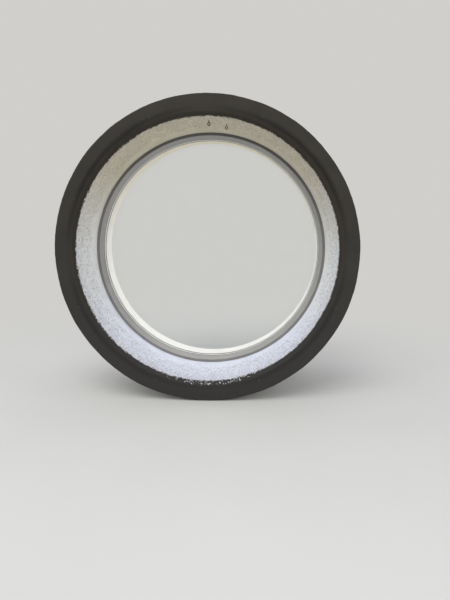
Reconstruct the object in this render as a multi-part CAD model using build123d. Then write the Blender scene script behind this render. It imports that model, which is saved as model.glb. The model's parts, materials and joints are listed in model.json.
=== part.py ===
from build123d import *
import os
from math import degrees

# A round fixed window for a thick wall: a painted surround on the room side, a rendered reveal,
# a slim aluminium frame with a sealed double-glazed unit, and a rendered reveal on the outside.
# All of it is built on one fibre-cement sleeve that fills a round hole in the wall.
# +X is to the right seen from the room, +Y runs outward through the wall and +Z is up.
# The origin is on the window's axis, in the plane of the wall's room face. Sizes are in millimetres.

# Clear radius of the glass, which every ring outside it is worked out from
sight_radius = 483.0

# Sealed glazing unit
glass_cover = 11.0
glass_radius = sight_radius + glass_cover
pane_thickness = 4.0
unit_cavity = 16.0
butyl_thickness = 0.4
spacer_setback = 1.0
spacer_inner_radius = sight_radius + spacer_setback
spacer_height = 6.5
spacer_outer_radius = spacer_inner_radius + spacer_height
spacer_wall = 0.8
spacer_joint_gap = 0.3
spacer_joint_angle = 90.0
key_length = 45.0
key_clearance = 0.1
desiccant_clearance = 0.2
desiccant_end_gap = 4.0

# Gaskets each side of the glass
gasket_thickness = 4.0
gasket_width = 6.0
gasket_spread = 0.6
gasket_setback = 2.0

# Frame: two aluminium shells joined by plastic strips, bent in four quarters that meet at the joints
frame_front = 250.0
frame_depth = 72.0
frame_back = frame_front + frame_depth
glass_edge_gap = 6.0
pocket_radius = glass_radius + glass_edge_gap
frame_height = 29.0
frame_outer_radius = pocket_radius + frame_height
shell_wall = 2.0
shell_rail = 4.0
room_shell_depth = 26.0
outer_shell_depth = 22.0
lip_width = 4.0
lip_radius = pocket_radius - lip_width
rebate_leg = 3.0
rebate_setback = 1.0
rebate_radius = sight_radius + rebate_setback
joint_gap = 0.2
quarter_names = ("upper_right", "upper_left", "lower_left", "lower_right")
joint_names = ("right", "top", "left", "bottom")

# Plastic strips between the shells
strip_thickness = 2.0
strip_inset = 4.0
groove_depth = 2.0

# Connectors inside the shells, at the joints of the frame's quarters
connector_length = 90.0
connector_clearance = 0.2

# Weep slots in the rebate's leg
weep_angles = (-102.0, -78.0)
weep_length = 25.0
weep_width = 4.5
weep_floor_gap = 1.0

# Where the panes and the spacer lie in the frame
unit_back = frame_back - rebate_leg - gasket_thickness
outer_glass_front = unit_back - pane_thickness
cavity_front = outer_glass_front - unit_cavity
glass_front = cavity_front - pane_thickness
spacer_front = cavity_front + butyl_thickness
spacer_back = outer_glass_front - butyl_thickness

# Glazing bead, a thin sloped section that snaps behind the frame's lip
bead_back = glass_front - gasket_thickness
bead_wall = 1.6
bead_top_width = 2.2
bead_toe_height = 2.5
bead_clearance = 0.3
bead_hook_reach = 3.0
bead_foot_clearance = 1.0

# Blocks that carry and centre the glass
block_length = 100.0
block_overhang = 2.0
setting_block_angles = {"setting_block_left": -112.0, "setting_block_right": -68.0}
location_block_angles = {
    "location_block_right": 8.0,
    "location_block_top_right": 64.0,
    "location_block_top_left": 116.0,
    "location_block_left": 172.0,
}

# Sleeve that lines the hole in the wall
packing_gap = 5.0
sleeve_length = 480.0
sleeve_inner_radius = frame_outer_radius + packing_gap
sleeve_wall = 20.0
sleeve_outer_radius = sleeve_inner_radius + sleeve_wall

# Shallow seat in the surround's back, which takes the sleeve's chamfered end
sleeve_seat_depth = 1.0
sleeve_seat_clearance = 0.3
sleeve_seat_radius = sleeve_outer_radius + sleeve_seat_clearance
sleeve_front = -sleeve_seat_depth
sleeve_chamfer = sleeve_seat_depth

# Frame screws and the packers that they pass through
frame_screw_count = 8
frame_screw_radius = 3.0
frame_screw_bite = 15.0
frame_head_radius = 5.0
frame_head_height = 2.4
head_seat_gap = 0.1
packer_length = 50.0
packer_width = 14.0

# Seals round the frame
seal_tape_width = 5.5
foam_end_gap = 0.5

# Room reveal, which narrows a little towards the frame and covers its outer part
frame_show = 9.0
reveal_frame_radius = lip_radius + frame_show
reveal_flare = 7.0
reveal_mouth_radius = reveal_frame_radius + reveal_flare

# Outer reveal
outer_frame_show = 19.0
outer_reveal_radius = rebate_radius + outer_frame_show

# Stop beads between render and frame, and the corner bead at the outside edge
bead_sheet = 1.5
stop_base_width = 14.0
stop_nose_length = 9.0
corner_leg = 25.0

# Surround: a round board with a rounded nose, and a spigot that is glued into the sleeve
surround_step = 1.0
surround_width = 77.0
surround_inner_radius = reveal_mouth_radius + surround_step
surround_outer_radius = surround_inner_radius + surround_width
surround_thickness = 14.0
surround_edge_radius = 3.0
spigot_depth = 10.0
reveal_start = spigot_depth
bond_thickness = 1.0
bond_end_gap = 0.5
spigot_outer_radius = sleeve_inner_radius - bond_thickness
nose_radius = 20.0
nose_start_radius = surround_inner_radius + nose_radius
quirk_width = 2.5
quirk_depth = 2.2

# Screws that hold the surround to the sleeve's end, under filler
surround_screw_count = 8
surround_screw_radius = 2.0
surround_screw_bite = 30.0
surround_head_radius = 3.9
surround_head_height = 2.5
surround_head_clearance = 0.1
surround_bore_radius = surround_head_radius + surround_head_clearance
filler_depth = 3.0
screw_hole_clearance = 0.3
thread_clearance = 0.05
surround_screw_circle = sleeve_inner_radius + sleeve_wall / 2

# Hooks in the top of the reveal. Angles run clockwise from the top, seen from the room.
hook_places = {"hook_eye_left": (0.9, 66.0, 30.0), "hook_eye_right": (8.7, 103.0, 6.0)}
hook_wire_radius = 1.5
hook_eye_radius = 5.1
hook_eye_drop = 13.5
hook_eye_opening = 24.0
hook_bite = 21.0
plug_radius = 3.0
plug_length = 25.0
plug_set_in = 0.4

# Old screw holes that were left open in the top of the reveal: angle from the top and depth
old_holes = ((-5.9, 144.0), (-12.0, 165.0), (23.9, 149.0))
old_hole_radius = 2.0
old_hole_depth = 12.0

# Extra length of a cutter past the faces that it opens
past = 1.0


# Closed section from its corners: X is the radius and Y the depth through the wall
def section(*corners):
    return make_face(Polyline(*corners, close=True))


# Rectangular section between two radii and two depths
def band(inner, outer, front, back):
    return section((inner, front), (outer, front), (outer, back), (inner, back))


# Section turned about the window's axis, all round or over an arc.
# The arc's centre is an angle from +X towards +Z, which is anticlockwise seen from the room.
def turned(face, centre=90.0, sweep=360.0):
    return Rot(0, -centre - sweep / 2, 0) * revolve(face, Axis.Y, sweep)


# Angle that a length takes up along an arc
def arc_angle(length, radius):
    return degrees(length / radius)


# Something made along +X, carried round to an angle
def carried(shape, angle):
    return Rot(0, -angle, 0) * shape


# Round rod pointing away from the axis
def radial_rod(radius, start, end, depth, angle):
    rod = Cylinder(radius, end - start, align=(Align.CENTER, Align.CENTER, Align.MIN))
    return carried(Pos(start, depth, 0) * Rot(0, 90, 0) * rod, angle)


# Round rod parallel to the window's axis
def axial_rod(radius, front, back, circle, angle):
    rod = Cylinder(radius, back - front, align=(Align.CENTER, Align.CENTER, Align.MIN))
    return carried(Pos(circle, front, 0) * Rot(-90, 0, 0) * rod, angle)


# Angles of a number of fixings, half a step away from the frame's joints
def spread_angles(count):
    return [(index + 0.5) * 360 / count for index in range(count)]


# Radius of the room reveal at a depth
def reveal_radius(depth):
    share = (depth - reveal_start) / (frame_front - stop_nose_length - reveal_start)
    return reveal_mouth_radius + (reveal_frame_radius - reveal_mouth_radius) * share


def surround_ring():
    front = -surround_thickness
    nose_end = front + nose_radius
    edge_centre = (surround_outer_radius - surround_edge_radius, front + surround_edge_radius)
    quirk_end = nose_start_radius + quirk_width
    outline = [
        Line((surround_inner_radius, spigot_depth), (surround_inner_radius, nose_end)),
        CenterArc((nose_start_radius, nose_end), nose_radius, 180, 90),
        Line((nose_start_radius, front), (nose_start_radius + quirk_width / 2, front + quirk_depth)),
        Line((nose_start_radius + quirk_width / 2, front + quirk_depth), (quirk_end, front)),
        Line((quirk_end, front), (edge_centre[0], front)),
        CenterArc(edge_centre, surround_edge_radius, 270, 90),
        Line((surround_outer_radius, edge_centre[1]), (surround_outer_radius, 0)),
        Line((surround_outer_radius, 0), (sleeve_seat_radius, 0)),
        Line((sleeve_seat_radius, 0), (sleeve_seat_radius, sleeve_front)),
        Line((sleeve_seat_radius, sleeve_front), (spigot_outer_radius, sleeve_front)),
        Line((spigot_outer_radius, sleeve_front), (spigot_outer_radius, spigot_depth)),
        Line((spigot_outer_radius, spigot_depth), (surround_inner_radius, spigot_depth)),
    ]
    ring = turned(make_face(outline))
    head_floor = front + filler_depth + surround_head_height
    hole_radius = surround_screw_radius + screw_hole_clearance
    for angle in spread_angles(surround_screw_count):
        ring -= axial_rod(surround_bore_radius, front - past, head_floor, surround_screw_circle, angle)
        ring -= axial_rod(hole_radius, front, past, surround_screw_circle, angle)
    return ring


def surround_adhesive():
    return turned(band(spigot_outer_radius, sleeve_inner_radius, bond_end_gap, spigot_depth - bond_end_gap))


def surround_screws():
    head_front = -surround_thickness + filler_depth
    head_back = head_front + surround_head_height
    screws = []
    for angle in spread_angles(surround_screw_count):
        head = axial_rod(surround_head_radius, head_front, head_back, surround_screw_circle, angle)
        shank = axial_rod(
            surround_screw_radius, head_front, surround_screw_bite, surround_screw_circle, angle
        )
        screws.append(head + shank)
    return screws


def surround_screw_fillers():
    front = -surround_thickness
    back = front + filler_depth
    return [
        axial_rod(surround_bore_radius, front, back, surround_screw_circle, angle)
        for angle in spread_angles(surround_screw_count)
    ]


def wall_sleeve():
    sleeve = turned(section(
        (sleeve_inner_radius, sleeve_front),
        (sleeve_outer_radius - sleeve_chamfer, sleeve_front),
        (sleeve_outer_radius, sleeve_front + sleeve_chamfer),
        (sleeve_outer_radius, sleeve_length),
        (sleeve_inner_radius, sleeve_length),
    ))
    pilot = surround_screw_radius + thread_clearance
    for angle in spread_angles(surround_screw_count):
        sleeve -= axial_rod(
            pilot, sleeve_front - past, surround_screw_bite + past, surround_screw_circle, angle
        )
    frame_pilot = frame_screw_radius + thread_clearance
    frame_pilot_end = sleeve_inner_radius + frame_screw_bite + past
    for angle in spread_angles(frame_screw_count):
        sleeve -= radial_rod(frame_pilot, frame_outer_radius, frame_pilot_end, frame_screw_depth(), angle)
    for name in hook_places:
        sleeve -= plug_hole(name)
    return sleeve


def room_reveal_render():
    nose_front = frame_front - stop_nose_length
    coat = turned(section(
        (reveal_mouth_radius, reveal_start),
        (sleeve_inner_radius, reveal_start),
        (sleeve_inner_radius, frame_front),
        (reveal_frame_radius + stop_base_width, frame_front),
        (reveal_frame_radius + stop_base_width, frame_front - bead_sheet),
        (reveal_frame_radius + bead_sheet, frame_front - bead_sheet),
        (reveal_frame_radius + bead_sheet, nose_front),
        (reveal_frame_radius, nose_front),
    ))
    for name in hook_places:
        coat -= plug_hole(name)
    for clockwise, depth in old_holes:
        face = reveal_radius(depth)
        coat -= radial_rod(
            old_hole_radius, face - old_hole_depth, face + old_hole_depth, depth, 90 - clockwise
        )
    return coat


def room_stop_bead():
    nose_front = frame_front - stop_nose_length
    return turned(section(
        (reveal_frame_radius, nose_front),
        (reveal_frame_radius + bead_sheet, nose_front),
        (reveal_frame_radius + bead_sheet, frame_front - bead_sheet),
        (reveal_frame_radius + stop_base_width, frame_front - bead_sheet),
        (reveal_frame_radius + stop_base_width, frame_front),
        (reveal_frame_radius, frame_front),
    ))


def outer_stop_bead():
    nose_back = frame_back + stop_nose_length
    return turned(section(
        (outer_reveal_radius, frame_back),
        (outer_reveal_radius + stop_base_width, frame_back),
        (outer_reveal_radius + stop_base_width, frame_back + bead_sheet),
        (outer_reveal_radius + bead_sheet, frame_back + bead_sheet),
        (outer_reveal_radius + bead_sheet, nose_back),
        (outer_reveal_radius, nose_back),
    ))


def outer_corner_bead():
    leg_front = sleeve_length - corner_leg
    return turned(section(
        (outer_reveal_radius, leg_front),
        (outer_reveal_radius + bead_sheet, leg_front),
        (outer_reveal_radius + bead_sheet, sleeve_length - bead_sheet),
        (outer_reveal_radius + corner_leg, sleeve_length - bead_sheet),
        (outer_reveal_radius + corner_leg, sleeve_length),
        (outer_reveal_radius, sleeve_length),
    ))


def outer_reveal_render():
    leg_front = sleeve_length - corner_leg
    nose_back = frame_back + stop_nose_length
    return turned(section(
        (outer_reveal_radius, nose_back),
        (outer_reveal_radius + bead_sheet, nose_back),
        (outer_reveal_radius + bead_sheet, frame_back + bead_sheet),
        (outer_reveal_radius + stop_base_width, frame_back + bead_sheet),
        (outer_reveal_radius + stop_base_width, frame_back),
        (sleeve_inner_radius, frame_back),
        (sleeve_inner_radius, sleeve_length),
        (outer_reveal_radius + corner_leg, sleeve_length),
        (outer_reveal_radius + corner_leg, sleeve_length - bead_sheet),
        (outer_reveal_radius + bead_sheet, sleeve_length - bead_sheet),
        (outer_reveal_radius + bead_sheet, leg_front),
        (outer_reveal_radius, leg_front),
    ))


# Depth of the frame screws: the middle of the room shell's chamber
def frame_screw_depth():
    return frame_front + (room_shell_depth - shell_rail + shell_wall) / 2


# Inner radii of the two plastic strips
def strip_radii():
    return pocket_radius + strip_inset, frame_outer_radius - strip_inset - strip_thickness


# Middle angle of each quarter of the frame
def quarter_angles():
    return {name: (index + 0.5) * 90 for index, name in enumerate(quarter_names)}


# Angle of each joint between two quarters
def joint_angles():
    return {name: index * 90 for index, name in enumerate(joint_names)}


# Sweep of a quarter ring, less the gap at its joints
def quarter_sweep(radius):
    return 90 - arc_angle(joint_gap, radius)


# Grooves for the plastic strips, running a little into the space between the shells
def strip_grooves(front, back):
    grooves = [band(inner, inner + strip_thickness, front, back) for inner in strip_radii()]
    return grooves[0] + grooves[1]


def frame_room_shell(centre):
    back = frame_front + room_shell_depth
    outline = section(
        (lip_radius, frame_front),
        (frame_outer_radius, frame_front),
        (frame_outer_radius, back),
        (pocket_radius, back),
        (pocket_radius, frame_front + shell_wall),
        (lip_radius, frame_front + shell_wall),
    )
    chamber = band(
        pocket_radius + shell_wall,
        frame_outer_radius - shell_wall,
        frame_front + shell_wall,
        back - shell_rail,
    )
    profile = outline - chamber - strip_grooves(back - groove_depth, back + past)
    shell = turned(profile, centre, quarter_sweep(frame_outer_radius))
    hole_radius = frame_screw_radius + screw_hole_clearance
    for angle in spread_angles(frame_screw_count):
        shell -= radial_rod(
            hole_radius, pocket_radius - past, frame_outer_radius + past, frame_screw_depth(), angle)
    return shell


def frame_outer_shell(centre):
    front = frame_back - outer_shell_depth
    outline = section(
        (pocket_radius, front),
        (frame_outer_radius, front),
        (frame_outer_radius, frame_back),
        (rebate_radius, frame_back),
        (rebate_radius, frame_back - rebate_leg),
        (pocket_radius, frame_back - rebate_leg),
    )
    chamber = band(
        pocket_radius + shell_wall,
        frame_outer_radius - shell_wall,
        front + shell_rail,
        frame_back - shell_wall,
    )
    profile = outline - chamber - strip_grooves(front - past, front + groove_depth)
    shell = turned(profile, centre, quarter_sweep(frame_outer_radius))
    slot_outer = pocket_radius - weep_floor_gap
    slot = band(slot_outer - weep_width, slot_outer, frame_back - rebate_leg - past, frame_back + past)
    for angle in weep_angles:
        shell -= turned(slot, angle, arc_angle(weep_length, slot_outer))
    return shell


def thermal_strips(centre):
    front = frame_front + room_shell_depth - groove_depth
    back = frame_back - outer_shell_depth + groove_depth
    sweep = quarter_sweep(frame_outer_radius)
    return [
        turned(band(inner, inner + strip_thickness, front, back), centre, sweep)
        for inner in strip_radii()
    ]


# Block that joins two quarters of a shell, inside their chambers
def frame_connector(chamber_front, chamber_back, centre):
    block = band(
        pocket_radius + shell_wall + connector_clearance,
        frame_outer_radius - shell_wall - connector_clearance,
        chamber_front + connector_clearance,
        chamber_back - connector_clearance,
    )
    return turned(block, centre, arc_angle(connector_length, frame_outer_radius))


def glazing_bead(centre):
    top_outer = lip_radius - bead_clearance
    top_inner = top_outer - bead_top_width
    hook_front = frame_front + shell_wall + bead_clearance
    hook_outer = lip_radius + bead_hook_reach
    toe = bead_back - bead_toe_height
    foot_outer = pocket_radius - bead_foot_clearance
    slope = (top_inner - sight_radius) / (toe - frame_front)

    # Radius of the slope's inner face at a depth
    def inner_face(depth):
        return top_inner + bead_wall - slope * (depth - frame_front)

    profile = section(
        (top_inner, frame_front),
        (top_outer, frame_front),
        (top_outer, hook_front),
        (hook_outer, hook_front),
        (hook_outer, hook_front + bead_wall),
        (inner_face(hook_front + bead_wall), hook_front + bead_wall),
        (inner_face(bead_back - bead_wall), bead_back - bead_wall),
        (foot_outer, bead_back - bead_wall),
        (foot_outer, bead_back),
        (sight_radius, bead_back),
        (sight_radius, toe),
    )
    return turned(profile, centre, quarter_sweep(sight_radius))


# Gasket ring, narrower on its frame side than on the glass
def gasket(frame_side, glass_side):
    inner = sight_radius + gasket_setback
    outer = inner + gasket_width
    return turned(section(
        (inner, frame_side),
        (outer, frame_side),
        (outer + gasket_spread, glass_side),
        (inner - gasket_spread, glass_side),
    ))


# Round pane, from its room face
def pane(front):
    disc = Cylinder(glass_radius, pane_thickness, align=(Align.CENTER, Align.CENTER, Align.MIN))
    return Pos(0, front, 0) * Rot(-90, 0, 0) * disc


# Section of the spacer's hollow, less a clearance all round
def spacer_hollow(clearance):
    inset = spacer_wall + clearance
    return band(
        spacer_inner_radius + inset,
        spacer_outer_radius - inset,
        spacer_front + inset,
        spacer_back - inset,
    )


def spacer_bar():
    tube = band(spacer_inner_radius, spacer_outer_radius, spacer_front, spacer_back) - spacer_hollow(0)
    sweep = 360 - arc_angle(spacer_joint_gap, spacer_inner_radius)
    return turned(tube, spacer_joint_angle + 180, sweep)


def spacer_key():
    key_sweep = arc_angle(key_length, spacer_inner_radius)
    return turned(spacer_hollow(key_clearance), spacer_joint_angle, key_sweep)


def desiccant():
    taken = arc_angle(key_length + 2 * desiccant_end_gap, spacer_inner_radius)
    return turned(spacer_hollow(desiccant_clearance), spacer_joint_angle + 180, 360 - taken)


def butyl_seal(front):
    return turned(band(spacer_inner_radius, spacer_outer_radius, front, front + butyl_thickness))


def edge_seal():
    return turned(band(spacer_outer_radius, glass_radius, cavity_front, outer_glass_front))


# Block between the glass edge and the pocket's floor
def glazing_block(angle):
    block = band(glass_radius, pocket_radius, glass_front - block_overhang, unit_back + block_overhang)
    return turned(block, angle, arc_angle(block_length, pocket_radius))


def frame_screws():
    screws = []
    depth = frame_screw_depth()
    head_top = pocket_radius - head_seat_gap - frame_head_height
    tip = sleeve_inner_radius + frame_screw_bite
    for angle in spread_angles(frame_screw_count):
        head = radial_rod(frame_head_radius, head_top, pocket_radius - head_seat_gap, depth, angle)
        shank = radial_rod(frame_screw_radius, head_top, tip, depth, angle)
        screws.append(head + shank)
    return screws


# Depth at which the room side's seal tape ends, and the packers and the foam begin
def packing_front():
    return frame_front + seal_tape_width + foam_end_gap


# Packers between frame and sleeve, each with the hole for its screw
def frame_packers():
    front = packing_front()
    hole_radius = frame_screw_radius + screw_hole_clearance
    plate = band(frame_outer_radius, sleeve_inner_radius, front, front + packer_width)
    packers = []
    for angle in spread_angles(frame_screw_count):
        packer = turned(plate, angle, arc_angle(packer_length, frame_outer_radius))
        packer -= radial_rod(
            hole_radius, frame_outer_radius - past, sleeve_inner_radius + past, frame_screw_depth(), angle)
        packers.append(packer)
    return packers


def perimeter_foam():
    front = packing_front()
    back = frame_back - seal_tape_width - foam_end_gap
    foam = turned(band(frame_outer_radius, sleeve_inner_radius, front, back))
    cutter = band(
        frame_outer_radius - past,
        sleeve_inner_radius + past,
        front - past,
        front + packer_width,
    )
    for angle in spread_angles(frame_screw_count):
        foam -= turned(cutter, angle, arc_angle(packer_length, frame_outer_radius))
    return foam


def seal_tape(front):
    return turned(band(frame_outer_radius, sleeve_inner_radius, front, front + seal_tape_width))


# Hole for a hook's plug, through the render and into the sleeve
def plug_hole(name):
    clockwise, depth, turn = hook_places[name]
    mouth = reveal_radius(depth)
    return radial_rod(plug_radius, mouth - past, mouth + plug_set_in + plug_length, depth, 90 - clockwise)


def hook_plug(name):
    clockwise, depth, turn = hook_places[name]
    mouth = reveal_radius(depth) + plug_set_in
    body = radial_rod(plug_radius, mouth, mouth + plug_length, depth, 90 - clockwise)
    bore_end = reveal_radius(depth) + hook_bite + past
    bore = hook_wire_radius + thread_clearance
    return body - radial_rod(bore, mouth - past, bore_end, depth, 90 - clockwise)


# Screw hook bent into an eye, made along +X as pointing away from the window's axis, then turned and carried
def hook_eye(name):
    clockwise, depth, turn = hook_places[name]
    mouth = reveal_radius(depth)
    eye_centre = mouth - hook_eye_drop
    wire = Pos(hook_eye_radius, 0, 0) * Rot(90, 0, 0) * Circle(hook_wire_radius)
    eye = Rot(0, 0, hook_eye_opening) * revolve(wire, Axis.Z, 360 - hook_eye_opening)
    shank = Rot(0, 90, 0) * Cylinder(
        hook_wire_radius,
        hook_eye_drop + hook_bite - hook_eye_radius,
        align=(Align.CENTER, Align.CENTER, Align.MIN))
    hook = eye + Pos(hook_eye_radius, 0, 0) * shank
    hook = Rot(turn, 0, 0) * Rot(90, 0, 0) * hook
    return carried(Pos(eye_centre, depth, 0) * hook, 90 - clockwise)


def write(node, shape):
    pieces = shape if isinstance(shape, list) else [shape]
    solids = [solid for piece in pieces for solid in piece.solids()]
    body = solids[0] if len(solids) == 1 else Compound(children=solids)
    body.label = node
    export_step(body, f"parts/{node}.step")


def main():
    os.makedirs("parts", exist_ok=True)

    write("surround_ring", surround_ring())
    write("surround_adhesive", surround_adhesive())
    write("surround_screws", surround_screws())
    write("surround_screw_fillers", surround_screw_fillers())
    write("wall_sleeve", wall_sleeve())
    write("room_reveal_render", room_reveal_render())
    write("room_stop_bead", room_stop_bead())
    write("outer_reveal_render", outer_reveal_render())
    write("outer_stop_bead", outer_stop_bead())
    write("outer_corner_bead", outer_corner_bead())

    for quarter, centre in quarter_angles().items():
        write(f"frame_room_shell_{quarter}", frame_room_shell(centre))
        write(f"frame_outer_shell_{quarter}", frame_outer_shell(centre))
        write(f"glazing_bead_{quarter}", glazing_bead(centre))
        write(f"thermal_strips_{quarter}", thermal_strips(centre))

    room_chamber = (frame_front + shell_wall, frame_front + room_shell_depth - shell_rail)
    outer_chamber = (frame_back - outer_shell_depth + shell_rail, frame_back - shell_wall)
    for place, centre in joint_angles().items():
        write(f"frame_connector_room_{place}", frame_connector(*room_chamber, centre))
        write(f"frame_connector_outer_{place}", frame_connector(*outer_chamber, centre))

    write("bead_gasket", gasket(bead_back, glass_front))
    write("rebate_gasket", gasket(frame_back - rebate_leg, unit_back))
    write("inner_pane", pane(glass_front))
    write("outer_pane", pane(outer_glass_front))
    write("spacer_bar", spacer_bar())
    write("spacer_key", spacer_key())
    write("desiccant", desiccant())
    write("primary_seal_inner", butyl_seal(cavity_front))
    write("primary_seal_outer", butyl_seal(spacer_back))
    write("edge_seal", edge_seal())

    for node, angle in {**setting_block_angles, **location_block_angles}.items():
        write(node, glazing_block(angle))

    write("frame_screws", frame_screws())
    write("frame_packers", frame_packers())
    write("perimeter_foam", perimeter_foam())
    write("room_seal_tape", seal_tape(frame_front))
    write("outer_seal_tape", seal_tape(frame_back - seal_tape_width))

    for name in hook_places:
        write(name, hook_eye(name))
        write(name.replace("eye", "plug"), hook_plug(name))


main()
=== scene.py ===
# Round window for a thick wall: dark painted surround, rough white reveal, slim grey frame
# with double glazing, and a plain white reveal on the outside. Metres, as the frame is.
import json
import math

import bmesh
import bpy
import numpy as np
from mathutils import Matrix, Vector, noise


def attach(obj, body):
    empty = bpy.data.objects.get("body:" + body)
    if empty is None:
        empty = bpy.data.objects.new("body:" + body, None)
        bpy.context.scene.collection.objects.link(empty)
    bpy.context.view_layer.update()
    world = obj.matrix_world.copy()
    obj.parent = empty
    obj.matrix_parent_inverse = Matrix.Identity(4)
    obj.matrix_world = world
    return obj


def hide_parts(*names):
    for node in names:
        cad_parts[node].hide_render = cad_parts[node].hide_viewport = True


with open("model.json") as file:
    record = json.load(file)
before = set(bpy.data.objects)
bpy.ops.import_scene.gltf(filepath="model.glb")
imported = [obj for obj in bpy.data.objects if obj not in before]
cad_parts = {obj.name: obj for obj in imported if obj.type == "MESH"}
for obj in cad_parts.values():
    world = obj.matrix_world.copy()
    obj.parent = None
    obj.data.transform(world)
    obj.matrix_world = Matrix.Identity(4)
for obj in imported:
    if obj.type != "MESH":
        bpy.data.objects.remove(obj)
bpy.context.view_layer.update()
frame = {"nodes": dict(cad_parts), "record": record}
nodes = frame["nodes"]
mm = 0.001
print("frame loaded,", len(nodes), "nodes")


# Radii and depths of a CAD ring, read from its own points
def ringSize(node):
    points = np.array([vertex.co for vertex in nodes[node].data.vertices])
    reach = np.hypot(points[:, 0], points[:, 2])
    return {
        "inner": reach.min(),
        "outer": reach.max(),
        "front": points[:, 1].min(),
        "back": points[:, 1].max(),
    }


surroundSize = ringSize("surround_ring")
fillerSize = ringSize("surround_screw_fillers")
roomSize = ringSize("room_reveal_render")
outerSize = ringSize("outer_reveal_render")
sleeveSize = ringSize("wall_sleeve")
roomBeadSize = ringSize("room_stop_bead")
outerBeadSize = ringSize("outer_stop_bead")
cornerSize = ringSize("outer_corner_bead")


# Section tools: a section is a list of (radius, depth) points
def straight(start, end, count):
    steps = np.linspace(0, 1, count, endpoint=False)
    return [(start[0] + (end[0] - start[0]) * t, start[1] + (end[1] - start[1]) * t) for t in steps]


def bend(centre, radius, first, last, count):
    angles = np.radians(np.linspace(first, last, count, endpoint=False))
    return [(centre[0] + radius * math.cos(a), centre[1] + radius * math.sin(a)) for a in angles]


def sameSection(points, around):
    return np.tile(np.array(points), (around, 1, 1))


# 0 at low, 1 at high and smooth between them
def softStep(value, low, high):
    share = np.clip((value - low) / (high - low), 0, 1)
    return share * share * (3 - 2 * share)


seedStep = (1.0, 1.7, -0.6)  # each seed reads the noise somewhere else along this line


def noiseAt(points, size, seed):
    shift = Vector([seed * step for step in seedStep])
    flat = points.reshape(-1, 3) / size
    values = [noise.noise(Vector(point) + shift) for point in flat]
    return np.array(values).reshape(points.shape[:-1])


# Several noises added up, each with its size, seed and height
def noiseSum(points, parts):
    return sum(height * noiseAt(points, size, seed) for size, seed, height in parts)


# Positions in space of sections that stand at even angles round the axis
def inSpace(sections):
    angles = np.linspace(0, 2 * math.pi, len(sections), endpoint=False)[:, None]
    reach, depth = sections[..., 0], sections[..., 1]
    return np.stack([reach * np.cos(angles), depth, reach * np.sin(angles)], axis=-1)


# Directions out of the material along each section
def outOf(sections):
    tiny = 1e-9  # keeps a doubled point from dividing by zero
    ahead = np.roll(sections, -1, axis=1)
    behind = np.roll(sections, 1, axis=1)
    run = ahead - behind
    area = (sections[..., 0] * ahead[..., 1] - ahead[..., 0] * sections[..., 1]).sum(axis=1)
    out = np.stack([run[..., 1], -run[..., 0]], axis=-1) * np.sign(area)[:, None, None]
    return out / np.maximum(np.linalg.norm(out, axis=-1, keepdims=True), tiny)


# Closed ring through its sections
def makeRing(name, sections, sharpAngle):
    around, count = sections.shape[:2]
    points = inSpace(sections).reshape(-1, 3)
    corner = np.arange(around * count).reshape(around, count)
    nextRow = np.roll(corner, -1, axis=0)
    quads = np.stack([corner, np.roll(corner, -1, axis=1), np.roll(nextRow, -1, axis=1), nextRow], axis=-1)
    mesh = bpy.data.meshes.new(name)
    mesh.from_pydata(points.tolist(), [], quads.reshape(-1, 4).tolist())
    work = bmesh.new()
    work.from_mesh(mesh)
    bmesh.ops.recalc_face_normals(work, faces=work.faces)
    work.to_mesh(mesh)
    work.free()
    mesh.shade_smooth()
    mesh.set_sharp_from_angle(angle=math.radians(sharpAngle))
    ring = bpy.data.objects.new(name, mesh)
    bpy.context.scene.collection.objects.link(ring)
    return ring


# Colour given in the usual 0 to 255 levels, as the linear values that Blender works in
def tone(red, green, blue):
    def linear(value):
        value = value / 255
        return value / 12.92 if value <= 0.04045 else ((value + 0.055) / 1.055) ** 2.4
    return (linear(red), linear(green), linear(blue), 1.0)


# Node tools for the finishes and the sky
class NodeWork:
    def __init__(self, tree):
        self.tree = tree
        self.tree.nodes.clear()

    def add(self, kind, sockets=None, **settings):
        node = self.tree.nodes.new("ShaderNode" + kind)
        for name, value in settings.items():
            setattr(node, name, value)
        for key, value in (sockets or {}).items():
            if isinstance(value, bpy.types.NodeSocket):
                self.tree.links.new(value, node.inputs[key])
            else:
                node.inputs[key].default_value = value
        return node

    def span(self, value, low, high, toLow=0.0, toHigh=1.0, curve="LINEAR"):
        node = self.add("MapRange", {
            "Value": value, "From Min": low, "From Max": high, "To Min": toLow, "To Max": toHigh,
        }, interpolation_type=curve)
        return node.outputs["Result"]

    def math(self, kind, first, second=0.0):
        return self.add("Math", {0: first, 1: second}, operation=kind).outputs[0]

    def times(self, first, *others):
        for other in others:
            first = self.math("MULTIPLY", first, other)
        return first

    def mix(self, share, first, second):
        return self.add("Mix", {0: share, 6: first, 7: second}, data_type="RGBA").outputs[2]

    def mixShader(self, share, first, second):
        return self.add("MixShader", {0: share, 1: first, 2: second}).outputs[0]

    def length(self, vector):
        return self.add("VectorMath", {0: vector}, operation="LENGTH").outputs["Value"]


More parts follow.
